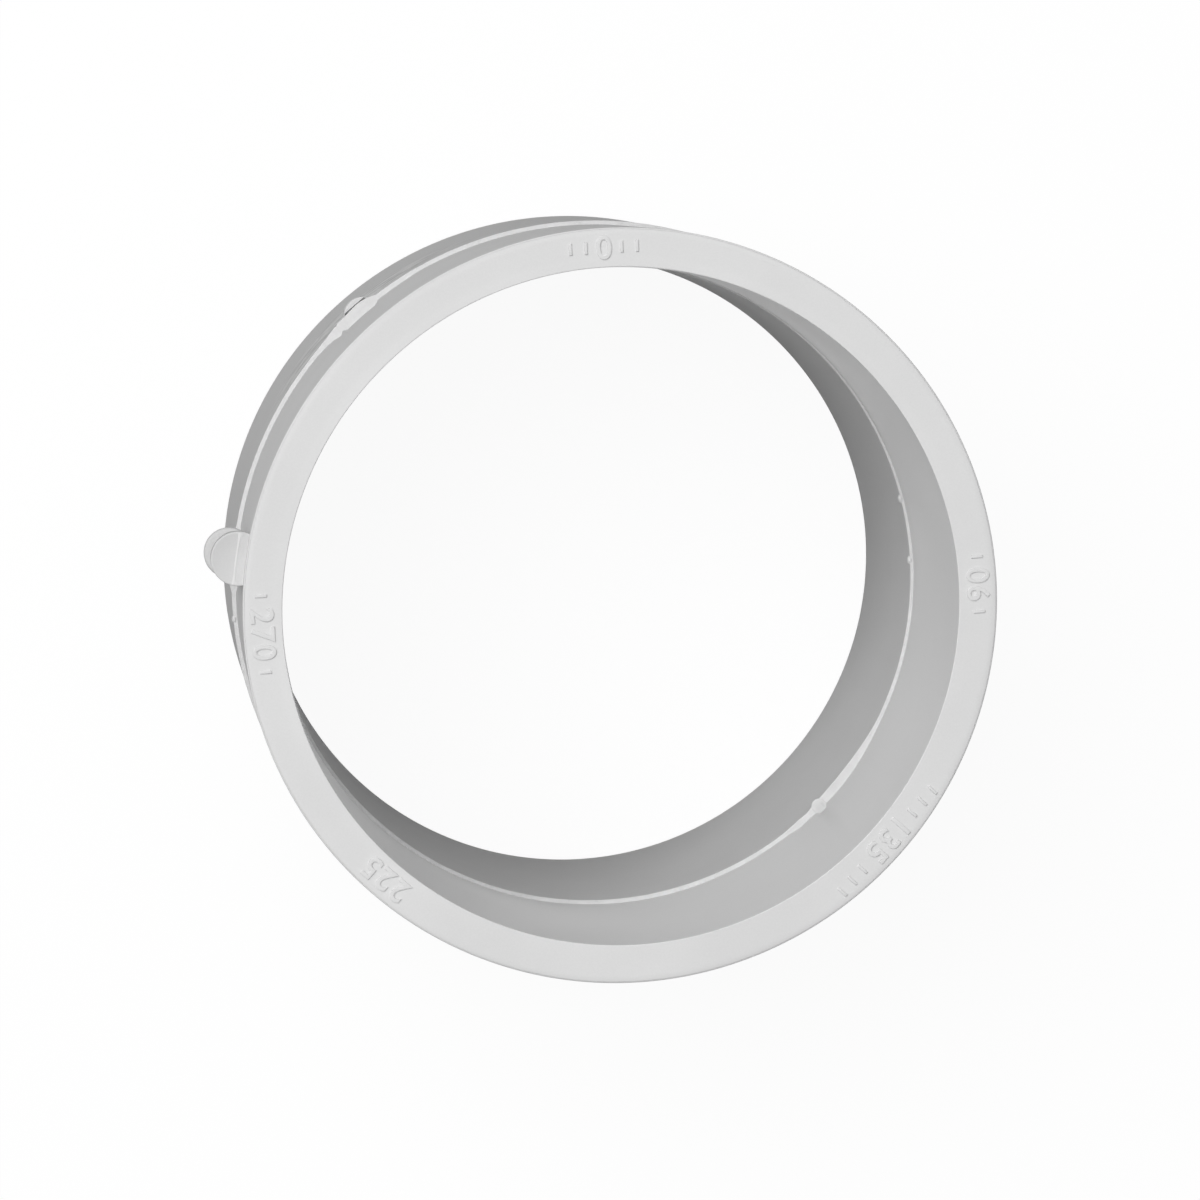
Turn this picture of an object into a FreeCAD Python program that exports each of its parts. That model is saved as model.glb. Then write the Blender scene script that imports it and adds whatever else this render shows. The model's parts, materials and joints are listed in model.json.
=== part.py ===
"""Plain drain-pipe sleeve, nominal 4 inch: one moulding, split into its moulded features.

The sleeve stands on its rear rim with its axis on Z. Row angles run counter-clockwise from +X,
seen from the front rim, which is the upper one. All sizes are in millimetres and degrees.
"""
import FreeCAD, Part
import Sketcher
import os

doc = FreeCAD.newDocument("pipe_sleeve")
sheet = doc.addObject("Spreadsheet::Sheet", "sizes")

SIZES = {
    # the two sockets
    "sleeve_length": 85.4,
    "bore_radius": 57.25,
    "front_outer_radius": 64.0,
    "rear_outer_step": 0.3,
    "rim_outer_round": 0.7,
    "rim_inner_round": 0.35,
    "lead_in_depth": 4.0,
    "lead_in_widening": 0.15,
    # the band between them, where the mould halves met, with a ridge inside and outside
    "band_width": 1.6,
    "inner_ridge_height": 0.45,
    "outer_ridge_height": 0.5,
    "swell_height": 1.15,
    "swell_crest_width": 0.4,
    "swell_span": 36.0,
    "swell_angle": -44.5,
    # small stubs left on the ridges by the mould
    "knob_radius": 1.35,
    "knob_height": 1.8,
    "smear_radius": 3.4,
    "smear_height": 0.25,
    "smear_length": 5.0,
    "nub_radius": 0.8,
    "nub_height": 0.9,
    "upper_nub_angle": 15.4,
    "lower_nub_angle": 4.2,
    "outer_nub_angle": 185.8,
    # the lug of two round discs on the left
    "lug_angle": 172.8,
    "front_disc_radius": 4.65,
    "front_disc_standoff": 1.5,
    "front_disc_setback": 2.0,
    "front_disc_thickness": 3.5,
    "rear_disc_radius": 3.8,
    "rear_disc_standoff": 3.4,
    "rear_disc_setback": 12.0,
    "rear_disc_thickness": 3.0,
    "neck_radius": 2.4,
    "neck_standoff": 2.0,
    # the trimmed gate at the upper left
    "gate_angle": 130.6,
    "gate_span": 10.8,
    "gate_height": 1.1,
    "gate_width": 1.7,
    "gate_top_width": 1.0,
    "gate_stub_radius": 2.0,
    "gate_stub_length": 2.2,
    "gate_stub_gap": 1.2,
    # the raised degree scale on the front rim
    "scale_inset": 3.3,
    "scale_relief": 0.25,
    "stroke_width": 0.5,
    "digit_width": 2.4,
    "digit_height": 4.0,
    "digit_pitch": 3.4,
    "tick_length": 2.0,
    "tick_step": 2.6,
    "scale_turn": -4.0,
}

for row, (name, value) in enumerate(SIZES.items(), start=1):
    sheet.set(f"A{row}", name)
    sheet.set(f"B{row}", str(value))
    sheet.setAlias(f"B{row}", name)
doc.recompute()

REAR_OUTER = "sizes.front_outer_radius + sizes.rear_outer_step"
MIDDLE = "sizes.sleeve_length / 2"
BAND_LOW = f"({MIDDLE} - sizes.band_width / 2)"
BAND_HIGH = f"({MIDDLE} + sizes.band_width / 2)"

pieces = []


def piece(obj, label):
    """Name a finished sub-part and list it for export."""
    obj.Label = label
    pieces.append(obj)
    return obj


def bind(obj, **expressions):
    """Bind properties to the sheet; a double underscore stands for the dot in a sub-property."""
    for name, expression in expressions.items():
        obj.setExpression(name.replace("__", "."), expression)
    return obj


def turned_ring(name, corners):
    """Body made by turning a closed outline about Z. Corners are (radius, height) expressions."""
    body = doc.addObject("PartDesign::Body", name)
    plane = [f for f in body.Origin.OriginFeatures if f.Role == "XZ_Plane"][0]
    sketch = body.newObject("Sketcher::SketchObject", name + "_outline")
    sketch.AttachmentSupport = [(plane, "")]
    sketch.MapMode = "FlatFace"
    points = [FreeCAD.Vector(evaluate(r), evaluate(z), 0) for r, z in corners]
    count = len(points)
    for i in range(count):
        sketch.addGeometry(Part.LineSegment(points[i], points[(i + 1) % count]))
    for i in range(count):
        sketch.addConstraint(Sketcher.Constraint("Coincident", i, 2, (i + 1) % count, 1))
    for i, (radius, height) in enumerate(corners):
        across = sketch.addConstraint(Sketcher.Constraint("DistanceX", -1, 1, i, 1, points[i].x))
        sketch.setExpression(f"Constraints[{across}]", radius)
        if height == "0":
            sketch.addConstraint(Sketcher.Constraint("PointOnObject", i, 1, -1))
        else:
            up = sketch.addConstraint(Sketcher.Constraint("DistanceY", -1, 1, i, 1, points[i].y))
            sketch.setExpression(f"Constraints[{up}]", height)
    turn = body.newObject("PartDesign::Revolution", name + "_turn")
    turn.Profile = sketch
    turn.ReferenceAxis = (sketch, ["V_Axis"])
    turn.Angle = 360
    sketch.Visibility = False
    doc.recompute()
    return body


def evaluate(expression):
    """Present value of an expression, for the first position of a sketch point."""
    return float(sheet.evalExpression(expression.replace("sizes.", "")))


def round_rim(body, name, radius, height, size):
    """Fillet the round edges of a body that lie at a height and near a radius."""
    last = body.Tip
    names = []
    for i, edge in enumerate(last.Shape.Edges, start=1):
        centre = edge.CenterOfMass
        if hasattr(edge.Curve, "Radius") and abs(centre.z - height) < 1e-3:
            if abs(edge.Curve.Radius - radius) < 1e-3:
                names.append(f"Edge{i}")
    fillet = body.newObject("PartDesign::Fillet", name)
    fillet.Base = (last, names)
    fillet.setExpression("Radius", size)
    doc.recompute()


def cylinder(name, radius, low, length, centre="0", angle="0"):
    """Upright cylinder whose axis stands at a radius and row angle from the sleeve's axis."""
    body = doc.addObject("Part::Cylinder", name)
    return bind(
        body,
        Radius=radius,
        Height=length,
        Placement__Base__x=f"({centre}) * cos(({angle}) * 1 deg)",
        Placement__Base__y=f"({centre}) * sin(({angle}) * 1 deg)",
        Placement__Base__z=low,
    )


def combined(kind, name, base, tool):
    """Part boolean of two objects."""
    result = doc.addObject(kind, name)
    result.Base = base
    result.Tool = tool
    return result


# The two sockets, each a plain tube that ends at the band. The front one has a slight lead-in.
front = turned_ring(
    "front_socket",
    [
        ("sizes.bore_radius", BAND_HIGH),
        ("sizes.front_outer_radius", BAND_HIGH),
        ("sizes.front_outer_radius", "sizes.sleeve_length"),
        ("sizes.bore_radius + sizes.lead_in_widening", "sizes.sleeve_length"),
        ("sizes.bore_radius", "sizes.sleeve_length - sizes.lead_in_depth"),
    ],
)
top = sheet.sleeve_length
mouth = sheet.bore_radius + sheet.lead_in_widening
round_rim(front, "front_outer_round", sheet.front_outer_radius, top, "sizes.rim_outer_round")
round_rim(front, "front_inner_round", mouth, top, "sizes.rim_inner_round")
piece(front, "front_socket")

rear = turned_ring(
    "rear_socket",
    [
        ("sizes.bore_radius", "0"),
        (REAR_OUTER, "0"),
        (REAR_OUTER, BAND_LOW),
        ("sizes.bore_radius", BAND_LOW),
    ],
)
rear_edge = sheet.front_outer_radius + sheet.rear_outer_step
round_rim(rear, "rear_outer_round", rear_edge, 0, "sizes.rim_outer_round")
round_rim(rear, "rear_inner_round", sheet.bore_radius, 0, "sizes.rim_inner_round")
piece(rear, "rear_socket")

# The band has a low pointed ridge inside, the pipe stop, and another outside, the parting line.
band = turned_ring(
    "centre_band",
    [
        ("sizes.bore_radius", BAND_LOW),
        (REAR_OUTER, BAND_LOW),
        ("sizes.front_outer_radius + sizes.outer_ridge_height", MIDDLE),
        ("sizes.front_outer_radius", BAND_HIGH),
        ("sizes.bore_radius", BAND_HIGH),
        ("sizes.bore_radius - sizes.inner_ridge_height", MIDDLE),
    ],
)
piece(band, "centre_band")

# The inner ridge is thicker over a short arc at the lower right.
swell = turned_ring(
    "stop_swell",
    [
        ("sizes.bore_radius", BAND_HIGH),
        ("sizes.bore_radius - sizes.swell_height", f"{MIDDLE} + sizes.swell_crest_width"),
        ("sizes.bore_radius - sizes.swell_height", MIDDLE),
        ("sizes.bore_radius - sizes.inner_ridge_height", MIDDLE),
    ],
)
swell_turn = swell.Tip
swell_turn.Midplane = True
swell_turn.setExpression("Angle", "sizes.swell_span")
swell.setExpression("Placement.Rotation.Angle", "sizes.swell_angle")
piece(swell, "stop_swell")

# Tools that trim the small features to the walls that they stand on.
bore_plug = cylinder("bore_plug", "sizes.bore_radius", "0", "sizes.sleeve_length")
front_wall = cylinder("front_wall", "sizes.front_outer_radius", "0", "sizes.sleeve_length")
rear_wall = cylinder("rear_wall", REAR_OUTER, "0", "sizes.sleeve_length")


def inner_stub(label, radius, low, length, height, angle):
    """Part-round stub that stands a height off the bore wall, clear of the stop ridge."""
    centre = f"sizes.bore_radius - {height} + {radius}"
    rod = cylinder(label + "_rod", radius, low, length, centre, angle)
    inside = combined("Part::Common", label + "_inside", rod, bore_plug)
    clear = combined("Part::Cut", label + "_clear", inside, band)
    return combined("Part::Cut", label, clear, swell)


HALF_BAND = "sizes.band_width / 2"
knob = inner_stub("stop_knob", "sizes.knob_radius", MIDDLE, HALF_BAND, "sizes.knob_height",
                  "sizes.swell_angle")
piece(knob, "stop_knob")
smear = inner_stub("stop_smear", "sizes.smear_radius", BAND_HIGH, "sizes.smear_length",
                   "sizes.smear_height", "sizes.swell_angle")
piece(smear, "stop_smear")
for side in ("upper", "lower"):
    nub = inner_stub(f"stop_nub_{side}", "sizes.nub_radius", MIDDLE, HALF_BAND,
                     "sizes.nub_height", f"sizes.{side}_nub_angle")
    piece(nub, f"stop_nub_{side}")

# The outer nub stands on the front side of the parting ridge.
outer_rod = cylinder("outer_nub_rod", "sizes.nub_radius", MIDDLE, "sizes.band_width",
                     "sizes.front_outer_radius", "sizes.outer_nub_angle")
outer_clear = combined("Part::Cut", "outer_nub_clear", outer_rod, front_wall)
piece(combined("Part::Cut", "outer_nub", outer_clear, band), "outer_nub")

# The lug: a disc just behind the front rim, a smaller one deeper and further out, and a neck.
FRONT_FACE = "(sizes.sleeve_length - sizes.front_disc_setback)"
FRONT_BACK = f"({FRONT_FACE} - sizes.front_disc_thickness)"
REAR_FACE = "(sizes.sleeve_length - sizes.rear_disc_setback)"
REAR_BACK = f"({REAR_FACE} - sizes.rear_disc_thickness)"
LUG_PARTS = {
    "lug_front_disc": ("sizes.front_disc_radius", FRONT_BACK, FRONT_FACE, "sizes.front_disc_standoff"),
    "lug_neck": ("sizes.neck_radius", REAR_FACE, FRONT_BACK, "sizes.neck_standoff"),
    "lug_rear_disc": ("sizes.rear_disc_radius", REAR_BACK, REAR_FACE, "sizes.rear_disc_standoff"),
}
for label, (radius, low, high, standoff) in LUG_PARTS.items():
    centre = f"sizes.front_outer_radius + {standoff}"
    rod = cylinder(label + "_rod", radius, low, f"{high} - {low}", centre, "sizes.lug_angle")
    piece(combined("Part::Cut", label, rod, front_wall), label)

# The gate: a smeared lump along the parting ridge, and the stub of the runner behind it.
lump = turned_ring(
    "gate_lump",
    [
        ("sizes.front_outer_radius", BAND_HIGH),
        ("sizes.front_outer_radius + sizes.outer_ridge_height", MIDDLE),
        ("sizes.front_outer_radius + sizes.gate_height", MIDDLE),
        ("sizes.front_outer_radius + sizes.gate_height", f"{MIDDLE} + sizes.gate_top_width"),
        ("sizes.front_outer_radius", f"{MIDDLE} + sizes.gate_width"),
    ],
)
lump.Tip.Midplane = True
lump.Tip.setExpression("Angle", "sizes.gate_span")
lump.setExpression("Placement.Rotation.Angle", "sizes.gate_angle")
piece(lump, "gate_lump")

STUB_LOW = f"{BAND_LOW} - sizes.gate_stub_gap - sizes.gate_stub_length"
stub_rod = cylinder("gate_stub_rod", "sizes.gate_stub_radius", STUB_LOW, "sizes.gate_stub_length",
                    REAR_OUTER, "sizes.gate_angle")
piece(combined("Part::Cut", "gate_stub", stub_rod, rear_wall), "gate_stub")

# The degree scale: numbers of straight strokes, each stroke a low box on the rim.
STROKES = {
    "top": ("-sizes.digit_width / 2", "sizes.digit_height / 2", "across"),
    "middle": ("-sizes.digit_width / 2", "0", "across"),
    "bottom": ("-sizes.digit_width / 2", "-sizes.digit_height / 2", "across"),
    "upper_left": ("-sizes.digit_width / 2", "0", "up"),
    "upper_right": ("sizes.digit_width / 2", "0", "up"),
    "lower_left": ("-sizes.digit_width / 2", "-sizes.digit_height / 2", "up"),
    "lower_right": ("sizes.digit_width / 2", "-sizes.digit_height / 2", "up"),
}
RIGHT = ["upper_right", "lower_right"]
LEFT = ["upper_left", "lower_left"]
DIGITS = {
    "0": ["top", "bottom"] + LEFT + RIGHT,
    "1": RIGHT,
    "2": ["top", "upper_right", "middle", "lower_left", "bottom"],
    "3": ["top", "middle", "bottom"] + RIGHT,
    "5": ["top", "upper_left", "middle", "lower_right", "bottom"],
    "7": ["top"] + RIGHT,
    "9": ["top", "upper_left", "middle", "bottom"] + RIGHT,
}


def stroke(name, left, low, width, height):
    """One low box, given by its corner and its size in the plane of the rim."""
    box = doc.addObject("Part::Box", name)
    return bind(
        box,
        Length=width,
        Width=height,
        Height="sizes.scale_relief",
        Placement__Base__x=left,
        Placement__Base__y=low,
    )


def digit_strokes(name, digit, centre):
    """Boxes of one digit whose middle is at a place along the number."""
    boxes = []
    for place in DIGITS[digit]:
        x, y, way = STROKES[place]
        half = "sizes.stroke_width / 2"
        left = f"{centre} + ({x}) - {half}"
        low = f"({y}) - {half}"
        wide = "sizes.digit_width + sizes.stroke_width" if way == "across" else "sizes.stroke_width"
        tall = "sizes.stroke_width" if way == "across" else "sizes.digit_height / 2 + sizes.stroke_width"
        boxes.append(stroke(f"{name}_{place}", left, low, wide, tall))
    return boxes


def tick_strokes(name, centre):
    """One tick of the scale, at a place along the number."""
    return [
        stroke(name, f"{centre} - sizes.stroke_width / 2", "-sizes.tick_length / 2",
               "sizes.stroke_width", "sizes.tick_length")
    ]


def mark(number, tops_out, ticks_each_side):
    """Number on the rim at its own clock angle, with ticks beside it."""
    name = f"scale_{number}"
    boxes = []
    for i, digit in enumerate(number):
        centre = f"({i - (len(number) - 1) / 2}) * sizes.digit_pitch"
        boxes += digit_strokes(f"{name}_digit{i}", digit, centre)
    edge = f"{len(number) / 2} * sizes.digit_pitch"
    for i in range(ticks_each_side):
        away = f"({edge} + {i + 0.5} * sizes.tick_step)"
        boxes += tick_strokes(f"{name}_tick_left{i}", f"-{away}")
        boxes += tick_strokes(f"{name}_tick_right{i}", away)
    whole = doc.addObject("Part::MultiFuse", name)
    whole.Shapes = boxes
    radius = "(sizes.front_outer_radius - sizes.scale_inset)"
    row_angle = f"((90 - {number} - sizes.scale_turn) * 1 deg)"
    upright = 90 if tops_out else -90
    bind(
        whole,
        Placement__Base__x=f"{radius} * cos({row_angle})",
        Placement__Base__y=f"{radius} * sin({row_angle})",
        Placement__Base__z="sizes.sleeve_length",
        Placement__Rotation__Angle=f"(90 - {number} - sizes.scale_turn) - ({upright})",
    )
    piece(whole, name)


mark("0", tops_out=False, ticks_each_side=2)
mark("90", tops_out=False, ticks_each_side=1)
mark("135", tops_out=True, ticks_each_side=3)
mark("225", tops_out=True, ticks_each_side=0)
mark("270", tops_out=False, ticks_each_side=1)

doc.recompute()

faulty = [obj.Name for obj in doc.Objects if "Invalid" in obj.State or "Error" in obj.State]
if faulty:
    raise RuntimeError(f"these objects did not compute: {faulty}")
for obj in pieces:
    if obj.Shape.isNull() or not obj.Shape.isValid() or not obj.Shape.Solids:
        raise RuntimeError(f"{obj.Label} has no valid solid")

os.makedirs("parts", exist_ok=True)
for obj in pieces:
    obj.Shape.exportStep(f"parts/{obj.Label}.step")
    print(f"{obj.Label}: {len(obj.Shape.Solids)} solids, {obj.Shape.Volume:.1f} mm3")
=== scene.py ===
"""Looks of a plain moulded drain-pipe sleeve, built as an add-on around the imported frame.

The sleeve stands on its rear rim with its axis on Z, and the camera looks down into the front rim.
Lengths are in metres. Row angles run counter-clockwise from +X as the front rim is seen.
"""
import json
import math

import bmesh
import bpy
from bpy.props import FloatProperty, FloatVectorProperty, IntProperty, PointerProperty
from mathutils import Matrix, Vector, noise


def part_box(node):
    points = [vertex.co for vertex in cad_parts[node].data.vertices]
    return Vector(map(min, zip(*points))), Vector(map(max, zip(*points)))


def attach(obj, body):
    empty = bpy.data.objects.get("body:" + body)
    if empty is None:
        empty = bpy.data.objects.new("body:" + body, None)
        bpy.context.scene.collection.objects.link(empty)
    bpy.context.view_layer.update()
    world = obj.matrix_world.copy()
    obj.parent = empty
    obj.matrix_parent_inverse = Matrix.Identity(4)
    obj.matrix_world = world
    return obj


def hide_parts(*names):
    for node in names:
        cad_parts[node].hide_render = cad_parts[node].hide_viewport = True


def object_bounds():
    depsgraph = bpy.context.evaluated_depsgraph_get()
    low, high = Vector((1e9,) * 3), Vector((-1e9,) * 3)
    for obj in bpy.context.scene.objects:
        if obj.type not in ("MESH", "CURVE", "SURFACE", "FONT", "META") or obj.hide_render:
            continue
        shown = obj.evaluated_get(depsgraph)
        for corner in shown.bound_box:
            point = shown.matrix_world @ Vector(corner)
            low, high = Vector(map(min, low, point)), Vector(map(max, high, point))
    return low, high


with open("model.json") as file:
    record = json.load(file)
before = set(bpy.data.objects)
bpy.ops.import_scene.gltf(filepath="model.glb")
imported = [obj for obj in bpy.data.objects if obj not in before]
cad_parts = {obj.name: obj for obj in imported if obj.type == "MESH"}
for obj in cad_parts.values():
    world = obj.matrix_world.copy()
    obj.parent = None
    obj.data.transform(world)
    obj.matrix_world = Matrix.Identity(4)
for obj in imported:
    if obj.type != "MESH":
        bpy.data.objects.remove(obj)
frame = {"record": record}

bl_info = {
    "name": "Moulded Pipe Sleeve",
    "version": (1, 0, 0),
    "blender": (4, 5, 0),
    "location": "3D View > Sidebar > Sleeve",
    "description": "Builds the pieces, finishes and studio of a moulded drain-pipe sleeve",
    "category": "Object",
}

CAD_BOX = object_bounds()
MM = 0.001
BODY = "root"
MOUNTS = {mount["name"]: mount for mount in frame["record"]["mounts"]}
RIM_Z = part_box("front_socket")[1].z
BAND_LOW_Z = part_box("centre_band")[0].z
BAND_HIGH_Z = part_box("centre_band")[1].z
MIDDLE_Z = (BAND_LOW_Z + BAND_HIGH_Z) / 2
SHARP_ANGLE = math.radians(40)
BAND_SHARP_ANGLE = math.radians(30)


def length(name, description, default):
    """Length property in metres."""
    return FloatProperty(
        name=name, description=description, default=default, precision=5, unit="LENGTH", subtype="DISTANCE"
    )


def angle(name, description, degrees):
    """Angle property, given in degrees."""
    return FloatProperty(
        name=name, description=description, default=math.radians(degrees), unit="ROTATION", subtype="ANGLE"
    )


def fraction(name, description, default):
    """Property between nothing and one."""
    return FloatProperty(
        name=name, description=description, default=default, min=0.0, max=1.0, subtype="FACTOR"
    )


def colour(name, description, default):
    """Linear colour property."""
    return FloatVectorProperty(
        name=name, description=description, default=default, size=3, min=0.0, max=1.0, subtype="COLOR"
    )


class SleeveSizes(bpy.types.PropertyGroup):
    """Sizes of the sleeve and of the small marks that the mould left on it."""

    bore_radius: length("Bore radius", "Inner wall", MOUNTS["front_bore"]["dims"]["r_mm"] * MM)
    front_radius: length("Front radius", "Outer wall of the front half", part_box("front_socket")[1].x)
    rear_radius: length("Rear radius", "Outer wall of the rear half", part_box("rear_socket")[1].x)
    rear_flare: length("Rear flare", "How much wider the rear rim is outside than the step", 0.16 * MM)
    outer_round: length("Outer rim round", "Radius of the rims' outer corner", 0.3 * MM)
    rim_slope: length("Rim slope", "Width of the front rim's sloping outer part", 0.8 * MM)
    rim_fall: length("Rim fall", "How far that part falls", 0.16 * MM)
    rim_blend: length("Rim blend", "Radius that blends the slope into the flat rim", 5 * MM)
    inner_round: length("Inner rim round", "Radius of the rims' inner corner", 0.16 * MM)
    lead_in_depth: length("Lead-in depth", "How far the mouth's slight widening reaches", 4 * MM)
    lead_in: length("Lead-in", "Widening of the bore at the mouth", 0.15 * MM)
    inner_crest: length("Inner crest", "Radius that the step at mid-length narrows the bore to", 57.2 * MM)
    inner_root: length("Inner root", "Mean radius of the front bore where it meets the step", 57.66 * MM)
    core_shift: length("Core shift", "How far the front core sat off centre, to the lower right", 0.26 * MM)
    outer_crest: length("Outer crest", "Radius of the step outside", 64.4 * MM)
    outer_root: length("Outer root", "Radius of the front wall where it meets the outer step", 63.68 * MM)
    waver: length("Waver", "Unevenness of the step's edges", 0.05 * MM)
    lug_angle: angle("Lug angle", "Row angle of the round lug", 172.8)
    gate_angle: angle("Gate angle", "Row angle of the trimmed gate", 131.1)
    swell_angle: angle("Swell angle", "Row angle of the widest part of the step inside", -39.5)
    swell_reach: angle("Swell reach", "Row angle from the swell's middle to either end", 15)
    swell_inwards: length("Swell inwards", "How far the swell reaches into the bore", 0.5 * MM)
    swell_outwards: length("Swell outwards", "How far the swell reaches into the wall", 0.46 * MM)
    knob_angle: angle("Knob angle", "Row angle of the round knob on the step", -44.3)
    knob_radius: length("Knob radius", "Radius of the knob", 1.36 * MM)
    knob_reach: length("Knob reach", "Distance of the knob's centre from the sleeve's axis", 57.72 * MM)
    digit_height: length("Digit height", "Height of the numbers on the rim", 4.0 * MM)
    relief: length("Relief", "How far the numbers stand off the rim", CAD_BOX[1][2] - RIM_Z)
    steps_round: IntProperty(name="Steps", description="Faces round the sleeve", default=1080, min=24)


class SleeveFinish(bpy.types.PropertyGroup):
    """Colours and surface of the plastic."""

    plastic: colour("Plastic", "Colour of the moulded wall", (0.71, 0.71, 0.71))
    # Painted shade: the rear half's colour is a darker copy of the plastic, standing in for the darker
    # shading of the rear half.
    rear_shaded_plastic: colour("Rear plastic", "Colour of the rear half, from a smoother mould", (0.64, 0.64, 0.64))
    flash: colour("Flash", "Colour of the thin flash and of cut plastic", (0.65, 0.65, 0.65))
    roughness: fraction("Roughness", "Roughness of the moulded wall", 0.46)
    flash_roughness: fraction("Flash roughness", "Roughness of the flash", 0.34)
    grain: length("Grain", "Depth of the satin grain", 0.012 * MM)


class SleeveStudio(bpy.types.PropertyGroup):
    """Camera, lamps and floor."""

    camera_place: FloatVectorProperty(
        name="Camera place", description="Where the lens is", size=3, subtype="TRANSLATION",
        default=(-0.08962, 0.07624, 0.78181),
    )
    camera_turn: FloatVectorProperty(
        name="Camera turn", description="Rotation of the camera", size=3, subtype="EULER",
        default=tuple(math.radians(turn) for turn in (-6.17, -6.921, 0.7463)),
    )
    lens: FloatProperty(
        name="Lens", description="Focal length on a 36 mm sensor", default=125.94, unit="CAMERA"
    )
    key_distance: length("Key distance", "How far the main lamp stands", 2.2)
    key_lean: angle("Key lean", "How far the main lamp leans from straight above", 33.5)
    key_heading: angle("Key heading", "Row angle that the main lamp leans to", 138)
    key_size: length("Key size", "Width of the main lamp", 2.0)
    key_power: FloatProperty(
        name="Key power", description="Power of the main lamp", default=41.3, unit="POWER"
    )
    ambient: fraction("Ambient", "Strength of the light from all round", 0.44)
    floor_size: length("Floor size", "Width of the floor", 6.0)
    floor_white: fraction("Floor white", "Share of the floor's look that no shadow darkens", 0.93)


# Shape helpers


def polar(radius, turn, z=0.0):
    """Point at a radius and a row angle."""
    return Vector((radius * math.cos(turn), radius * math.sin(turn), z))


def new_object(name, mesh):
    """Object at the origin that holds a mesh or a text."""
    obj = bpy.data.objects.new(name, mesh)
    bpy.context.scene.collection.objects.link(obj)
    return obj


def mesh_from(name, vertices, faces, sharp_angle=SHARP_ANGLE):
    """Smooth-shaded mesh with outward normals and sharp corners kept."""
    mesh = bpy.data.meshes.new(name)
    mesh.from_pydata([tuple(v) for v in vertices], [], faces)
    return cleaned(mesh, sharp_angle)


def cleaned(mesh, sharp_angle=SHARP_ANGLE):
    """Merge doubles, turn the faces outwards and shade the mesh smooth up to an angle."""
    shape = bmesh.new()
    shape.from_mesh(mesh)
    bmesh.ops.remove_doubles(shape, verts=shape.verts, dist=1e-7)
    bmesh.ops.recalc_face_normals(shape, faces=shape.faces)
    shape.to_mesh(mesh)
    shape.free()
    mesh.shade_smooth()
    mesh.set_sharp_from_angle(angle=sharp_angle)
    return mesh


def place(obj, slot, *nodes):
    """Give a finished piece its body and hide the frame nodes that it stands for; its slot is not used."""
    if not obj.data.polygons:
        raise RuntimeError(f"{obj.name} has no faces")
    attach(obj, BODY)
    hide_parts(*nodes)
    return obj


def rounded_outline(corners, arc_steps=7, guard=0.06 * MM):
    """Closed outline in radius and height whose corners are rounded by their own radii.

    Corners are (radius, height, round). Guard points beside each round keep the flats flat.
    """
    outline = []
    count = len(corners)
    for i in range(count):
        here = Vector(corners[i][:2])
        before = (Vector(corners[i - 1][:2]) - here).normalized()
        after = (Vector(corners[(i + 1) % count][:2]) - here).normalized()
        size = corners[i][2]
        half = before.angle(after) / 2
        reach = size / math.tan(half)
        if size == 0:
            outline.append(here)
        else:
            outline.append(here + before * (reach + guard))
            centre = here + (before + after).normalized() * (size / math.sin(half))
            start = here + before * reach - centre
            end = here + after * reach - centre
            sweep = math.atan2(start.x * end.y - start.y * end.x, start.dot(end))
            for step in range(arc_steps + 1):
                turn = sweep * step / arc_steps
                spoke = Matrix.Rotation(turn, 2) @ start
                outline.append(centre + spoke)
            outline.append(here + after * (reach + guard))
    return outline


def socket_in(modifier, name):
    """Identifier of a named input of a modifier's node group."""
    for item in modifier.node_group.interface.items_tree:
        if item.item_type == "SOCKET" and item.in_out == "INPUT" and item.name == name:
            return item.identifier
    raise RuntimeError(f"{modifier.node_group.name} has no input called {name}")


class Tree:
    """Small helper that adds nodes to a node group and links them."""

    def __init__(self, tree):
        self.tree = tree

    def add(self, kind, settings=None, **inputs):
        """Node of a kind, with its settings, and its inputs by name or number."""
        node = self.tree.nodes.new(kind)
        for name, value in (settings or {}).items():
            setattr(node, name, value)
        for name, value in inputs.items():
            key = int(name[1:]) if name[0] == "i" and name[1:].isdigit() else name.replace("_", " ")
            self.feed(node.inputs[key], value)
        return node

    def out(self, kind, settings=None, **inputs):
        """First output of a new node."""
        return self.add(kind, settings, **inputs).outputs[0]

    def feed(self, socket, value):
        """Link a socket to an output, or set its own value."""
        if isinstance(value, bpy.types.NodeSocket):
            self.tree.links.new(value, socket)
        else:
            socket.default_value = value

    def math(self, operation, first, second=0.0):
        """Result of a sum on one or two values."""
        return self.out("ShaderNodeMath", {"operation": operation}, i0=first, i1=second)

    def vector(self, x, y, z):
        """Vector of three parts."""
        return self.out("ShaderNodeCombineXYZ", X=x, Y=y, Z=z)


def geometry_group(name, inputs):
    """Geometry node group with named inputs; returns its helper, its input node and its output."""
    group = bpy.data.node_groups.new(name, "GeometryNodeTree")
    group.interface.new_socket("Geometry", in_out="INPUT", socket_type="NodeSocketGeometry")
    for label, (kind, default) in inputs.items():
        socket = group.interface.new_socket(label, in_out="INPUT", socket_type=kind)
        if default is not None:
            socket.default_value = default
    group.interface.new_socket("Geometry", in_out="OUTPUT", socket_type="NodeSocketGeometry")
    tree = Tree(group)
    return tree, group.nodes.new("NodeGroupInput").outputs, group.nodes.new("NodeGroupOutput").inputs[0]


def finish_geometry(tree, geometry, material, output):
    """End a tree with real geometry that has its material."""
    real = tree.out("GeometryNodeRealizeInstances", Geometry=geometry)
    dressed = tree.out("GeometryNodeSetMaterial", Geometry=real, Material=material)
    tree.feed(output, dressed)


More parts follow.
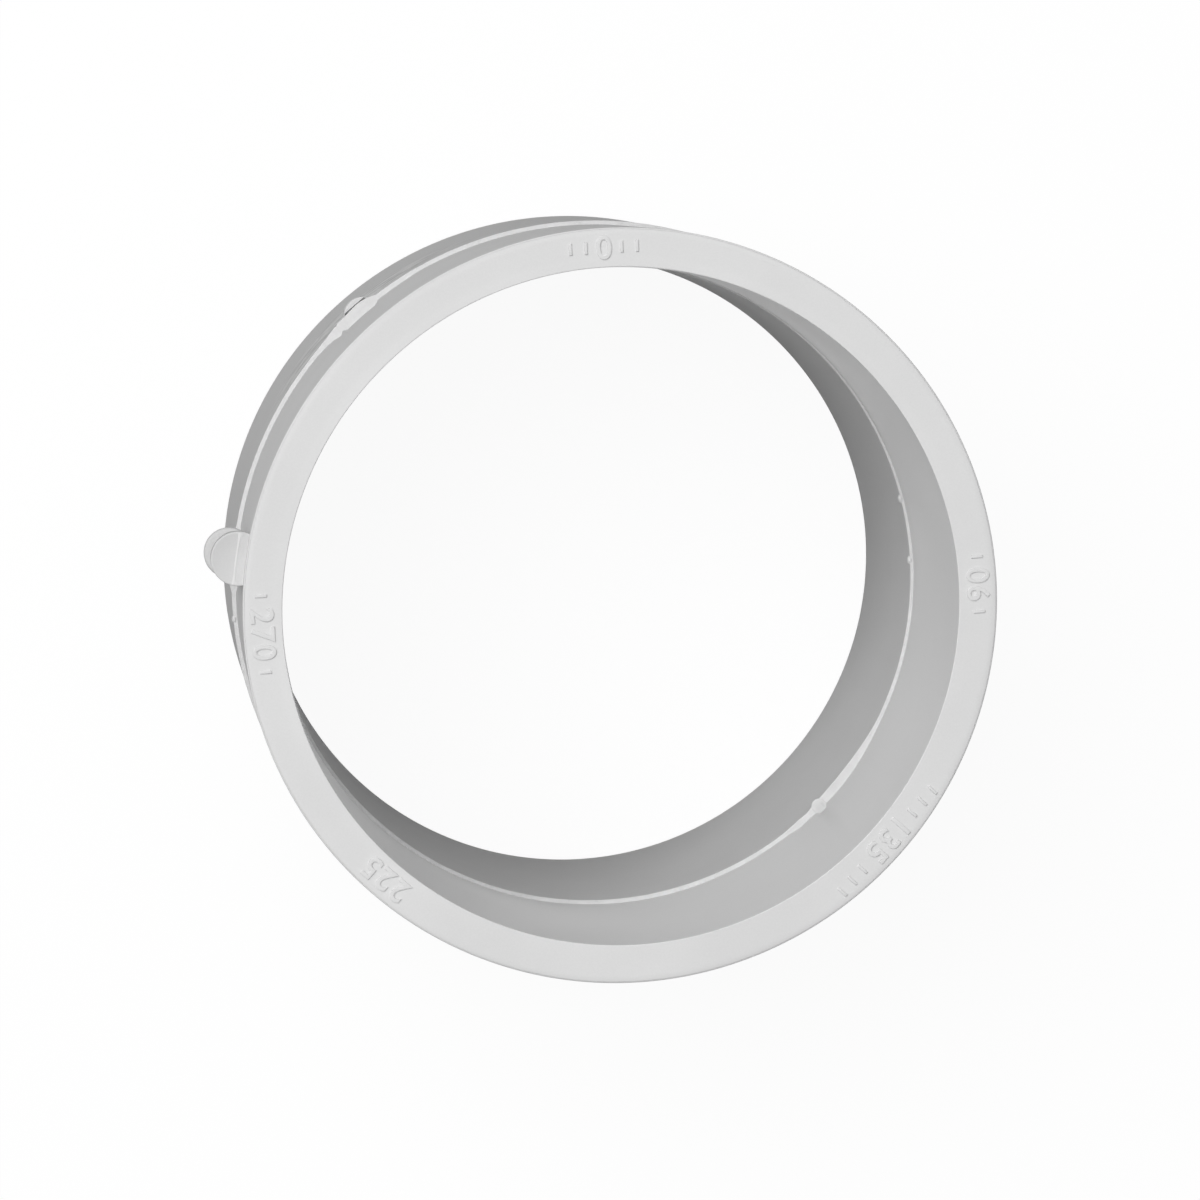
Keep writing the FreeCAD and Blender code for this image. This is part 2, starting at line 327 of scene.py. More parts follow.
def turned_wall_group():
    """Tree that turns the outline held by the object's own vertices about Z into a closed wall."""
    found = bpy.data.node_groups.get("Turned wall")
    if found:
        return found
    tree, given, output = geometry_group(
        "Turned wall", {"Steps": ("NodeSocketInt", 360), "Material": ("NodeSocketMaterial", None)}
    )
    outline = given["Geometry"]
    count = tree.add("GeometryNodeAttributeDomainSize", Geometry=outline).outputs["Point Count"]
    columns = tree.math("ADD", given["Steps"], 1)
    rows = tree.math("ADD", count, 1)
    sheet = tree.add("GeometryNodeMeshGrid", Size_X=1.0, Size_Y=1.0, Vertices_X=columns, Vertices_Y=rows)
    place_on_sheet = tree.out("GeometryNodeInputPosition")
    parts = tree.add("ShaderNodeSeparateXYZ", Vector=place_on_sheet).outputs
    turn = tree.math("MULTIPLY", tree.math("ADD", parts["X"], 0.5), math.tau)
    row = tree.math("ROUND", tree.math("MULTIPLY", tree.math("ADD", parts["Y"], 0.5), count))
    index = tree.math("MODULO", row, count)
    corner = tree.out(
        "GeometryNodeSampleIndex", {"data_type": "FLOAT_VECTOR", "domain": "POINT"},
        Geometry=outline, Value=place_on_sheet, Index=index,
    )
    radius_height = tree.add("ShaderNodeSeparateXYZ", Vector=corner).outputs
    x = tree.math("MULTIPLY", radius_height["X"], tree.math("COSINE", turn))
    y = tree.math("MULTIPLY", radius_height["X"], tree.math("SINE", turn))
    wall = tree.out(
        "GeometryNodeSetPosition", Geometry=sheet.outputs["Mesh"],
        Position=tree.vector(x, y, radius_height["Z"]),
    )
    closed = tree.out("GeometryNodeMergeByDistance", Geometry=wall, Distance=1e-7)
    finish_geometry(tree, closed, given["Material"], output)
    return tree.tree


def frozen(obj):
    """Replace an object's live modifier by its result, as a plain mesh."""
    graph = bpy.context.evaluated_depsgraph_get()
    result = bpy.data.meshes.new_from_object(obj.evaluated_get(graph))
    obj.modifiers.clear()
    obj.data = cleaned(result)
    material = result.materials[result.polygons[0].material_index]
    result.polygons.foreach_set("material_index", [0] * len(result.polygons))
    return dress(obj, material)


def turned_wall(name, outline, material, steps):
    """Piece turned about Z from a closed outline of radii and heights."""
    profile = bpy.data.meshes.new(name)
    profile.from_pydata([(r, 0, z) for r, z in outline], [], [])
    obj = new_object(name, profile)
    modifier = obj.modifiers.new("Turned wall", "NODES")
    modifier.node_group = turned_wall_group()
    modifier[socket_in(modifier, "Steps")] = steps
    modifier[socket_in(modifier, "Material")] = material
    return frozen(obj)


def bump_at(turn, centre, half_span):
    """Smooth hill of height one round a row angle."""
    away = abs((turn - centre + math.pi) % math.tau - math.pi) / half_span
    return 0.0 if away >= 1 else (1 - away * away) ** 2


def along(stations, turn):
    """Value at a row angle from (degrees, value) stations, level beyond both ends."""
    degrees = math.degrees(turn) % 360
    if degrees <= stations[0][0]:
        return stations[0][1]
    for (start, low), (end, high) in zip(stations, stations[1:]):
        if degrees <= end:
            return low + (high - low) * (degrees - start) / (end - start)
    return stations[-1][1]


def swept(name, sections, looped, sharp_angle=SHARP_ANGLE):
    """Skin over closed sections of equal counts, joined end to end or capped."""
    size = len(sections[0])
    vertices = [point for section in sections for point in section]
    faces = []
    last = len(sections) if looped else len(sections) - 1
    for i in range(last):
        this = i * size
        following = (i + 1) % len(sections) * size
        for j in range(size):
            k = (j + 1) % size
            faces.append((this + j, following + j, following + k, this + k))
    if not looped:
        faces.append(tuple(range(size)))
        faces.append(tuple(last * size + j for j in range(size)))
    return new_object(name, mesh_from(name, vertices, faces, sharp_angle))


def disc(name, centre, radius, low, high, rounding, steps=96, arc_steps=6, dish=0.0, lip=0.15 * MM):
    """Upright round disc with rounded edges, whose face may be dished inside a flat lip."""
    inside = radius - rounding
    sides = [(0.0, low)]
    for step in range(arc_steps + 1):
        turn = math.pi / 2 * step / arc_steps
        sides.append((inside + rounding * math.sin(turn), low + rounding - rounding * math.cos(turn)))
    for step in range(arc_steps + 1):
        turn = math.pi / 2 * step / arc_steps
        sides.append((inside + rounding * math.cos(turn), high - rounding + rounding * math.sin(turn)))
    if dish:
        slope = max(dish / 3, 0.1 * MM)
        sides.append((inside - lip, high))
        sides.append((inside - lip - slope, high - dish))
    sides.append((0.0, high - dish))
    vertices = []
    for r, z in sides:
        for step in range(steps):
            turn = math.tau * step / steps
            vertices.append((centre.x + r * math.cos(turn), centre.y + r * math.sin(turn), z))
    faces = []
    for level in range(len(sides) - 1):
        for step in range(steps):
            following = (step + 1) % steps
            low_row = level * steps
            high_row = low_row + steps
            faces.append((low_row + step, low_row + following, high_row + following, high_row + step))
    return new_object(name, mesh_from(name, vertices, faces))


def lump(name, centre, tangent, half_sizes, roughness, seed, steps=40):
    """Closed pebble of three half sizes: along the wall, off the wall and along the axis."""
    shape = bmesh.new()
    bmesh.ops.create_uvsphere(shape, u_segments=steps, v_segments=steps // 2, radius=1.0)
    outward = Vector((tangent.y, -tangent.x, 0.0))
    for vertex in shape.verts:
        ripple = 1 + roughness * noise.noise(vertex.co * 2.2 + Vector((seed, 0, 0)))
        aside, off, up = vertex.co * ripple
        offset = tangent * aside * half_sizes[0] + outward * off * half_sizes[1]
        vertex.co = centre + offset + Vector((0, 0, up * half_sizes[2]))
    mesh = bpy.data.meshes.new(name)
    shape.to_mesh(mesh)
    shape.free()
    return new_object(name, cleaned(mesh))


def joined(name, objects):
    """One object that holds several meshes."""
    shape = bmesh.new()
    for obj in objects:
        shape.from_mesh(obj.data)
        bpy.data.objects.remove(obj)
    mesh = bpy.data.meshes.new(name)
    shape.to_mesh(mesh)
    shape.free()
    mesh.shade_smooth()
    mesh.set_sharp_from_angle(angle=SHARP_ANGLE)
    return new_object(name, mesh)


def dress(obj, material):
    """Give a piece one material."""
    obj.data.materials.clear()
    obj.data.materials.append(material)
    return obj


# Finishes


def material_tree(name):
    """Empty node material with a shader; returns the material, its helper and the shader."""
    material = bpy.data.materials.new(name)
    material.use_nodes = True
    tree = Tree(material.node_tree)
    shader = material.node_tree.nodes["Principled BSDF"]
    return material, tree, shader


def noise_at(tree, coordinates, scale, detail=2.0, roughness=0.5):
    """Noise value between nothing and one."""
    return tree.out(
        "ShaderNodeTexNoise", Vector=coordinates, Scale=scale, Detail=detail, Roughness=roughness
    )


def ranged(tree, value, low, high, to_low=0.0, to_high=1.0):
    """Value moved smoothly from one range to another, and kept inside it."""
    return tree.out(
        "ShaderNodeMapRange", {"interpolation_type": "SMOOTHSTEP"},
        Value=value, From_Min=low, From_Max=high, To_Min=to_low, To_Max=to_high,
    )


def scaled(tree, base, shade):
    """Colour made lighter or darker by a factor."""
    return tree.out("ShaderNodeVectorMath", {"operation": "SCALE"}, i0=tuple(base), Scale=shade)


def spot_mask(tree, place_out, centre, half_sizes, turn=0.0, core=0.75):
    """One in the core of an ellipsoid round a point, falling to nothing at its edge."""
    local = tree.out(
        "ShaderNodeMapping", {"vector_type": "TEXTURE"},
        Vector=place_out, Location=centre, Rotation=(0, 0, turn), Scale=half_sizes,
    )
    away = tree.add("ShaderNodeVectorMath", {"operation": "LENGTH"}, i0=local).outputs["Value"]
    return ranged(tree, away, core, 1.0, 1.0, 0.0)


def seen_rays(tree):
    """One for rays that reach the eye straight, by a reflection or through a clear thing."""
    rays = tree.add("ShaderNodeLightPath").outputs
    seen = tree.math("MAXIMUM", rays["Is Camera Ray"], rays["Is Glossy Ray"])
    return tree.math("MAXIMUM", seen, rays["Is Transmission Ray"])


PLASTIC_IOR = 1.53
CLOUD_SCALE = 38
GRAIN_SCALE = 3200
TURNING_LINES_SCALE = (45, 45, 2400)
SMEAR_SCALE = (420, 420, 1500)
FINE_SMEAR_SCALE = 2600
SMEAR_DEPTH = 0.03 * MM
PATCH_CENTRE = (3.8 * MM, -61.3 * MM, RIM_Z)
PATCH_HALF_SIZES = (4.6 * MM, 2.4 * MM, 1 * MM)
SCUFF_CENTRE = (-42 * MM, 48.3 * MM, 34 * MM)
SCUFF_HALF_SIZES = (34 * MM, 14 * MM, 19 * MM)
SCUFF_STREAK = (7 * MM, 5 * MM, 2.2 * MM)
GATE_TANGENT_DEGREES = 41


def feed_plastic(tree, shader, tint, rough, relief, depth, gloss):
    """Give a plastic's shader its colour, roughness, bumps and gloss."""
    bump = tree.out("ShaderNodeBump", Strength=1.0, Distance=depth, Height=relief)
    looks = {
        "Base Color": tint, "Roughness": rough, "Normal": bump,
        "IOR": PLASTIC_IOR, "Specular IOR Level": gloss,
    }
    for name, value in looks.items():
        tree.feed(shader.inputs[name], value)


def plastic_material(finish, name="sleeve_plastic", base=None, satin=1.0, scuffing=0.0):
    """Moulded wall: satin grain, faint turning lines, one smooth patch and perhaps scuffs by the gate.

    The mould's core left a deeper satin in the bore than its cavity left outside.
    """
    material, tree, shader = material_tree(name)
    here = tree.add("ShaderNodeTexCoord").outputs["Object"]
    lines_at = tree.out("ShaderNodeMapping", Vector=here, Scale=TURNING_LINES_SCALE)
    gate_turn = math.radians(GATE_TANGENT_DEGREES)
    scuffs_at = tree.out(
        "ShaderNodeMapping", {"vector_type": "TEXTURE"},
        Vector=here, Rotation=(0, 0, gate_turn), Scale=SCUFF_STREAK,
    )
    cloud = noise_at(tree, here, CLOUD_SCALE, 3)
    grain = noise_at(tree, here, GRAIN_SCALE, 2, 0.6)
    lines = noise_at(tree, lines_at, 1.0, 3, 0.6)
    patch = spot_mask(tree, here, PATCH_CENTRE, PATCH_HALF_SIZES, 0.06)
    scuff_zone = spot_mask(tree, here, SCUFF_CENTRE, SCUFF_HALF_SIZES, gate_turn, 0.1)
    streaks = ranged(tree, noise_at(tree, scuffs_at, 1.0, 4, 0.6), 0.38, 0.62, -0.7, 0.8)
    flecks = ranged(tree, noise_at(tree, scuffs_at, 3.6, 2), 0.55, 0.7, 0.0, 1.3)
    scuffs = tree.math("MULTIPLY", scuff_zone, tree.math("SUBTRACT", streaks, flecks))
    parts = tree.add("ShaderNodeSeparateXYZ", Vector=here).outputs
    squares = tree.math("ADD", tree.math("POWER", parts["X"], 2), tree.math("POWER", parts["Y"], 2))
    radius = tree.math("SQRT", squares)
    depth = ranged(tree, radius, 58 * MM, 60 * MM, satin, 0.4)
    shade = ranged(tree, cloud, 0.3, 0.7, 0.975, 1.02)
    shade = tree.math("MULTIPLY", shade, ranged(tree, grain, 0.25, 0.75, 0.985, 1.015))
    shade = tree.math("SUBTRACT", shade, tree.math("MULTIPLY", scuffs, scuffing))
    rough = tree.math("ADD", ranged(tree, cloud, 0.3, 0.7, -0.05, 0.05), finish.roughness)
    rough = tree.math("SUBTRACT", rough, tree.math("MULTIPLY", patch, 0.16))
    rough = tree.math("ADD", rough, ranged(tree, depth, 0.4, 1.0, 0.3, 0.0))
    relief = tree.math("ADD", grain, tree.math("MULTIPLY", lines, 0.9))
    relief = tree.math("MULTIPLY", relief, depth)
    relief = tree.math("MULTIPLY", relief, tree.math("SUBTRACT", 1.0, tree.math("MULTIPLY", patch, 0.9)))
    tint = scaled(tree, base or finish.plastic, shade)
    feed_plastic(tree, shader, tint, rough, relief, finish.grain, 0.5 * satin)
    return material


def rear_material(finish):
    """The same plastic where the rear half of the mould shaped it; its colour is a darker copy of the
    plastic, as painted shade on the rear half.
    """
    return plastic_material(finish, "sleeve_rear_plastic", finish.rear_shaded_plastic, satin=0.45, scuffing=0.26)


def flash_material(finish):
    """Flash and cut plastic: smoother and unevenly smeared in front, like the rear wall behind, where its
    colour also takes the rear wall's painted shade and darkens the lower sides of the knob and nubs.
    """
    material, tree, shader = material_tree("sleeve_flash")
    here = tree.add("ShaderNodeTexCoord").outputs["Object"]
    smear_at = tree.out("ShaderNodeMapping", Vector=here, Scale=SMEAR_SCALE)
    smear = noise_at(tree, smear_at, 1.0, 3, 0.6)
    fine = noise_at(tree, here, FINE_SMEAR_SCALE, 2)
    height = tree.add("ShaderNodeSeparateXYZ", Vector=here).outputs["Z"]
    front = ranged(tree, height, BAND_HIGH_Z - 0.12 * MM, BAND_HIGH_Z - 0.05 * MM)
    shade = ranged(tree, smear, 0.3, 0.7, 0.95, 1.03)
    # Painted shade: below the front face the flash is darkened to the rear wall's darker copy of the plastic.
    painted_wall_shade = finish.rear_shaded_plastic[0] / finish.flash[0]
    shade = tree.math("MULTIPLY", shade, ranged(tree, front, 0.0, 1.0, painted_wall_shade, 1.0))
    rough = tree.math("ADD", ranged(tree, smear, 0.3, 0.7, -0.08, 0.08), finish.flash_roughness)
    rough = tree.math("ADD", rough, ranged(tree, front, 0.0, 1.0, 0.35, 0.0))
    relief = tree.math("ADD", smear, tree.math("MULTIPLY", fine, 0.3))
    feed_plastic(tree, shader, scaled(tree, finish.flash, shade), rough, relief, SMEAR_DEPTH, 0.35)
    return material


MAKERS = {
    "sleeve_plastic": plastic_material,
    "sleeve_rear_plastic": rear_material,
    "sleeve_flash": flash_material,
}


def finish_of(name):
    """Material of a name, made once."""
    return bpy.data.materials.get(name) or MAKERS[name](bpy.context.scene.sleeve_finish)


# Pieces


# Trimmed gate on the step outside: row angle in degrees, and how many millimetres its crest stands
# further out, or its root further in, than the rest of the step
GATE_CREST = (
    (127.6, 0), (128.3, 0.25), (129.1, 0.54), (130.5, 0.75), (131.4, 0.74), (133.4, 0.57), (135.2, 0.6),
    (135.6, 0.34), (136.0, 0.46), (136.8, 0.33), (138.3, 0.17), (140.5, 0.06), (143, 0),
)
GATE_ROOT = (
    (120, 0), (124, 0.18), (127.8, 0.2), (128.5, 0.55), (129.2, 0.85), (131, 0.86), (134.3, 0.7),
    (134.8, 0.95), (135.1, 0.2), (135.5, 0.25), (135.9, 0.7), (136.6, 0.55), (137.4, 0.32), (138.5, 0.15),
    (141, 0),
)
NUB_TURNS = (math.radians(4.2), math.radians(15.4))
NUB_SPAN = math.radians(0.9)
NUB_REACH = 0.3 * MM
PINCH_TURN = math.radians(-46.9)
PINCH_SPAN = math.radians(1.8)
BULGE_TURN = math.radians(-49.5)
BULGE_SPAN = math.radians(2.5)
PINCH_DEPTH = 0.2 * MM
FILLET_ABOVE = math.radians(0.6)
FILLET_BELOW = math.radians(7.4)
FILLET_SPAN = math.radians(1.5)
FILLET_WIDTH = 0.3 * MM


def uneven(turn, seed):
    """Smooth noise round the sleeve, from about minus one to one."""
    return noise.noise(polar(3.0, turn, seed)) + 0.5 * noise.noise(polar(11.0, turn, seed + 5))


def lug_fillets(sizes, turn):
    """Where the step outside widens as it meets the lug, above and below."""
    above = bump_at(turn, sizes.lug_angle - FILLET_ABOVE, FILLET_SPAN)
    below = bump_at(turn, sizes.lug_angle + FILLET_BELOW, FILLET_SPAN)
    return (above + below) * FILLET_WIDTH


def knob_half_chord(sizes, turn):
    """Half of the knob's extent towards and away from the axis, at a row angle."""
    aside = (turn - sizes.knob_angle + math.pi) % math.tau - math.pi
    rest = sizes.knob_radius**2 - (sizes.knob_reach * aside) ** 2
    return math.sqrt(rest) if rest > 0 else 0.0


def inner_crest(sizes, turn):
    """Radius that the step narrows the bore to."""
    radius = sizes.inner_crest
    radius -= sizes.swell_inwards * bump_at(turn, sizes.swell_angle, sizes.swell_reach)
    radius += PINCH_DEPTH * bump_at(turn, PINCH_TURN, PINCH_SPAN)
    for nub_turn in NUB_TURNS:
        radius -= NUB_REACH * bump_at(turn, nub_turn, NUB_SPAN)
    return radius + sizes.waver * uneven(turn, 3.0)


def outer_crest(sizes, turn):
    """Radius of the step outside."""
    radius = sizes.outer_crest + along(GATE_CREST, turn) * MM + lug_fillets(sizes, turn)
    return radius - abs(sizes.waver * uneven(turn, 8.0))


class SLEEVE_OT_walls(bpy.types.Operator):
    """Turn the front and rear sockets, and relieve the front one along the step"""

    bl_idname = "sleeve.walls"
    bl_label = "Sockets"

    INNER_RELIEF = 4.5 * MM
    OUTER_RELIEF = 11.0 * MM
    REAR_NARROWING = 0.05 * MM
    CORE_SHIFT_TURN = math.radians(-68)

    def execute(self, context):
        sizes = context.scene.sleeve_sizes
        bore = sizes.bore_radius
        inner_top = BAND_HIGH_Z + self.INNER_RELIEF
        outer_top = BAND_HIGH_Z + self.OUTER_RELIEF
        front = [
            (bore, BAND_HIGH_Z, 0),
            (sizes.front_radius, BAND_HIGH_Z, 0),
            (sizes.front_radius, outer_top, 0),
            (sizes.front_radius, RIM_Z - sizes.rim_fall, sizes.outer_round),
            (sizes.front_radius - sizes.rim_slope, RIM_Z, sizes.rim_blend),
            (bore + sizes.lead_in, RIM_Z, sizes.inner_round),
            (bore, RIM_Z - sizes.lead_in_depth, 0),
            (bore, inner_top, 0),
        ]
        rear = [
            (sizes.inner_crest - self.REAR_NARROWING, 0, sizes.inner_round),
            (sizes.rear_radius + sizes.rear_flare, 0, sizes.outer_round),
            (sizes.rear_radius, BAND_LOW_Z, 0),
            (sizes.inner_crest, BAND_LOW_Z, 0),
        ]
        plastic = finish_of("sleeve_plastic")
        wall = turned_wall("front_socket_wall", rounded_outline(front), plastic, sizes.steps_round)
        self.relieve(wall, sizes)
        place(wall, "moulded_plastic", "front_socket")
        # The rear wall wears the darker copy of the plastic: painted shade.
        plastic = finish_of("sleeve_rear_plastic")
        wall = turned_wall("rear_socket_wall", rounded_outline(rear), plastic, sizes.steps_round // 3)
        place(wall, "moulded_plastic", "rear_socket")
        return {"FINISHED"}

    def relieve(self, wall, sizes):
        """Thin the front wall towards the step, with the dips at the swell, the knob and the gate."""
        middle = (sizes.bore_radius + sizes.front_radius) / 2
        full = RIM_Z - sizes.lead_in_depth - BAND_HIGH_Z
        for vertex in wall.data.vertices:
            radius = math.hypot(vertex.co.x, vertex.co.y)
            turn = math.atan2(vertex.co.y, vertex.co.x)
            up = vertex.co.z - BAND_HIGH_Z
            taper = max(0.0, 1 - up / full)
            if radius < middle:
                dip = max(0.0, 1 - up / self.INNER_RELIEF)
                shift = taper * self.inner_taper(sizes, turn) + dip * self.inner_dip(sizes, turn)
            else:
                dip = max(0.0, 1 - up / self.OUTER_RELIEF)
                local = along(GATE_ROOT, turn) * MM + lug_fillets(sizes, turn)
                shift = -taper * (sizes.front_radius - sizes.outer_root) - dip * local
            vertex.co += polar(shift, turn)

    def inner_taper(self, sizes, turn):
        """How much wider the bore is at the step than at the mouth."""
        off_centre = sizes.core_shift * math.cos(turn - self.CORE_SHIFT_TURN)
        return sizes.inner_root + off_centre - sizes.bore_radius

    def inner_dip(self, sizes, turn):
        """Local widening of the bore at the swell, below it and at the knob."""
        dip = sizes.swell_outwards * bump_at(turn, sizes.swell_angle, sizes.swell_reach)
        dip += PINCH_DEPTH * bump_at(turn, BULGE_TURN, BULGE_SPAN)
        dip += sizes.waver * uneven(turn, 14.0)
        chord = knob_half_chord(sizes, turn)
        if chord:
            dip = max(dip, sizes.knob_reach + chord - sizes.bore_radius - self.inner_taper(sizes, turn))
        return dip


class SLEEVE_OT_step(bpy.types.Operator):
    """Build the band whose front face shows as a bright line inside and outside"""

    bl_idname = "sleeve.step"
    bl_label = "Step at mid-length"

    CREST_DEPTH = 0.6 * MM

    def execute(self, context):
        sizes = context.scene.sleeve_sizes
        steps = sizes.steps_round * 2
        sections = [self.section(sizes, math.tau * i / steps) for i in range(steps)]
        band = dress(swept("step_band", sections, True, BAND_SHARP_ANGLE), finish_of("sleeve_flash"))
        place(band, "moulded_plastic", "centre_band", "stop_swell", "gate_lump")
        return {"FINISHED"}

    def section(self, sizes, turn, ease=0.1 * MM, steps=4):
        """Section of the band at a row angle: crests in front, easing back to the rear wall."""
        inner = inner_crest(sizes, turn)
        outer = outer_crest(sizes, turn)
        ring = []
        for i in range(steps + 1):
            phase = math.pi / 2 * i / steps
            back = ease * (1 - math.sin(phase))
            ring.append((inner + ease * (1 - math.cos(phase)), BAND_HIGH_Z - back))
        for i in range(steps + 1):
            phase = math.pi / 2 * i / steps
            back = ease * (1 - math.cos(phase))
            ring.append((outer - ease * (1 - math.sin(phase)), BAND_HIGH_Z - back))
        ring.append((outer, BAND_HIGH_Z - self.CREST_DEPTH))
        ring.append((sizes.rear_radius, BAND_LOW_Z))
        ring.append((sizes.inner_crest, BAND_LOW_Z))
        ring.append((inner, BAND_HIGH_Z - self.CREST_DEPTH))
        return [polar(radius, turn, z) for radius, z in ring]


class SLEEVE_OT_stop_marks(bpy.types.Operator):
    """Add the knob and the nubs on the step"""

    bl_idname = "sleeve.stop_marks"
    bl_label = "Marks on the step"

    KNOB_FOOT = BAND_LOW_Z + 0.4 * MM
    KNOB_TOP = BAND_HIGH_Z + 0.12 * MM
    NUB_HALF_SIZES = (0.75 * MM, 0.5 * MM, 0.5 * MM)
    NUB_DEPTH = 0.35 * MM

    def execute(self, context):
        sizes = context.scene.sleeve_sizes
        flash = finish_of("sleeve_flash")
        centre = polar(sizes.knob_reach, sizes.knob_angle)
        knob = disc("stop_knob", centre, sizes.knob_radius, self.KNOB_FOOT, self.KNOB_TOP, 0.2 * MM, 64)
        place(dress(knob, flash), "mould_flash", "stop_knob", "stop_smear")
        for node, radius in (
            ("stop_nub_upper", sizes.inner_crest),
            ("stop_nub_lower", sizes.inner_crest),
            ("outer_nub", sizes.outer_crest - 0.2 * MM),
        ):
            low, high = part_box(node)
            middle = (low + high) / 2
            turn = math.atan2(middle.y, middle.x)
            tangent = Vector((-math.sin(turn), math.cos(turn), 0))
            spot = polar(radius, turn, BAND_HIGH_Z - self.NUB_DEPTH)
            nub = lump(node + "_drop", spot, tangent, self.NUB_HALF_SIZES, 0.1, turn * 3)
            place(dress(nub, flash), "mould_flash", node)
        return {"FINISHED"}


class SLEEVE_OT_lug(bpy.types.Operator):
    """Build the round lug of two discs and a neck, with the witness line on its face"""

    bl_idname = "sleeve.lug"
    bl_label = "Round lug"

    FRONT_RADIUS = 4.58 * MM
    FRONT_STANDOFF = 1.2 * MM
    FRONT_THICKNESS = 2.2 * MM
    REAR_RADIUS = 4.28 * MM
    REAR_STANDOFF = 2.35 * MM
    REAR_THICKNESS = 1.6 * MM
    REAR_DEGREES = 0.1
    STEM_RADIUS = 2.4 * MM
    STEM_STANDOFF = 1.4 * MM
    LINE_STANDOFF = 1.5 * MM
    LINE_HALF_WIDTH = 0.2 * MM
    LINE_HALF_SPAN = math.radians(3.8)

    def execute(self, context):
        sizes = context.scene.sleeve_sizes
        wall = sizes.front_radius
        rear_turn = sizes.lug_angle + math.radians(self.REAR_DEGREES)
        front_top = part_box("lug_front_disc")[1].z
        rear_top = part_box("lug_rear_disc")[1].z
        front_foot = front_top - self.FRONT_THICKNESS
        rear_foot = rear_top - self.REAR_THICKNESS
        front = disc(
            "lug_front", polar(wall + self.FRONT_STANDOFF, sizes.lug_angle), self.FRONT_RADIUS,
            front_foot, front_top, rounding=0.2 * MM, dish=0.04 * MM,
        )
        rear = disc(
            "lug_rear", polar(wall + self.REAR_STANDOFF, rear_turn), self.REAR_RADIUS,
            rear_foot, rear_top, rounding=0.5 * MM, dish=1.0 * MM, lip=0.8 * MM,
        )
        stem = disc(
            "lug_stem", polar(wall + self.STEM_STANDOFF, sizes.lug_angle), self.STEM_RADIUS,
            rear_foot + 0.2 * MM, front_foot + 0.4 * MM, rounding=0.1 * MM,
        )
        # The discs wear the darker copy of the plastic, as painted shade that keeps them darker than the
        # front rim.
        plastic = finish_of("sleeve_rear_plastic")
        place(dress(front, plastic), "moulded_plastic", "lug_front_disc")
        place(dress(rear, plastic), "moulded_plastic", "lug_rear_disc")
        place(dress(stem, plastic), "moulded_plastic", "lug_neck")
        line = self.witness_line(sizes, front_top)
        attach(dress(line, finish_of("sleeve_plastic")), BODY)
        return {"FINISHED"}

    def witness_line(self, sizes, face_z, steps=32, sides=8):
        """Low half-round rib across the front disc's face, in line with the step below it."""
        sections = []
        for step in range(steps + 1):
            aside = 2 * step / steps - 1
            turn = sizes.lug_angle + self.LINE_HALF_SPAN * aside
            half_width = self.LINE_HALF_WIDTH * (1 + 1.5 * abs(aside) ** 6)
            section = []
            for side in range(sides):
                phase = math.tau * side / sides
                radius = sizes.front_radius + self.LINE_STANDOFF + half_width * math.cos(phase)
                section.append(polar(radius, turn, face_z - 0.06 * MM + 0.1 * MM * math.sin(phase)))
            sections.append(section)
        return swept("lug_witness_line", sections, False)


class SLEEVE_OT_gate(bpy.types.Operator):
    """Build the stub of the trimmed gate behind the step"""

    bl_idname = "sleeve.gate"
    bl_label = "Trimmed gate"

    CENTRE_RADIUS = 62.62 * MM
    CENTRE_SHIFT = math.radians(0.2)
    SIZE = 3.43 * MM
    LIP_RADIUS = 65.15 * MM
    GROOVE_RADIUS = 64.85 * MM
    GROOVE_DEPTH = 1.6 * MM
    LEAST = 0.1 * MM

    def execute(self, context):
        sizes = context.scene.sleeve_sizes
        low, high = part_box("gate_stub")
        steps = 24
        sections = [self.section(sizes, i / steps - 1, low.z, high.z) for i in range(1, 2 * steps)]
        stub = swept("gate_stub_plate", sections, False, BAND_SHARP_ANGLE)
        place(dress(stub, finish_of("sleeve_plastic")), "mould_flash", "gate_stub")
        return {"FINISHED"}

    def section(self, sizes, aside, low, high):
        """Section of the half-disc, split from the step by a groove along its front."""
        turn = sizes.gate_angle + self.CENTRE_SHIFT + aside * self.SIZE / self.CENTRE_RADIUS
        root = sizes.outer_root - 2 * self.LEAST
        top = self.CENTRE_RADIUS + self.SIZE * math.sqrt(1 - aside * aside)
        lip = max(root + 2 * self.LEAST, min(self.LIP_RADIUS, top - self.LEAST))
        floor = max(root + self.LEAST, min(self.GROOVE_RADIUS, lip - self.LEAST))
        top = max(top, lip + self.LEAST)
        groove_low = high - self.GROOVE_DEPTH
        ring = [
            (root, low), (top - 0.1 * MM, low), (top, low + 0.15 * MM), (top, high - 0.25 * MM),
            (top - 0.08 * MM, high - 0.07 * MM), (top - 0.2 * MM, high), (lip, high),
            (floor, groove_low), (root, groove_low),
        ]
        return [polar(radius, turn, z) for radius, z in ring]


def tick_group():
    """Tree that lays out a row of rounded ticks on both sides of a number."""
    found = bpy.data.node_groups.get("Tick row")
    if found:
        return found
    tree, given, output = geometry_group(
        "Tick row",
        {
            "Count": ("NodeSocketInt", 2),
            "First": ("NodeSocketFloat", 0.003),
            "Step": ("NodeSocketFloat", 0.0026),
            "Material": ("NodeSocketMaterial", None),
        },
    )
    rows = []
    for side in (-1, 1):
        start = tree.vector(tree.math("MULTIPLY", given["First"], side), 0.0, 0.0)
        offset = tree.vector(tree.math("MULTIPLY", given["Step"], side), 0.0, 0.0)
        rows.append(
            tree.out(
                "GeometryNodeMeshLine", {"mode": "OFFSET"},
                Count=given["Count"], Start_Location=start, Offset=offset,
            )
        )
    both = tree.add("GeometryNodeJoinGeometry")
    for row in rows:
        tree.tree.links.new(row, both.inputs[0])
    ticks = tree.add("GeometryNodeInstanceOnPoints", Points=both.outputs[0], Instance=given["Geometry"])
    finish_geometry(tree, ticks.outputs[0], given["Material"], output)
    return tree.tree


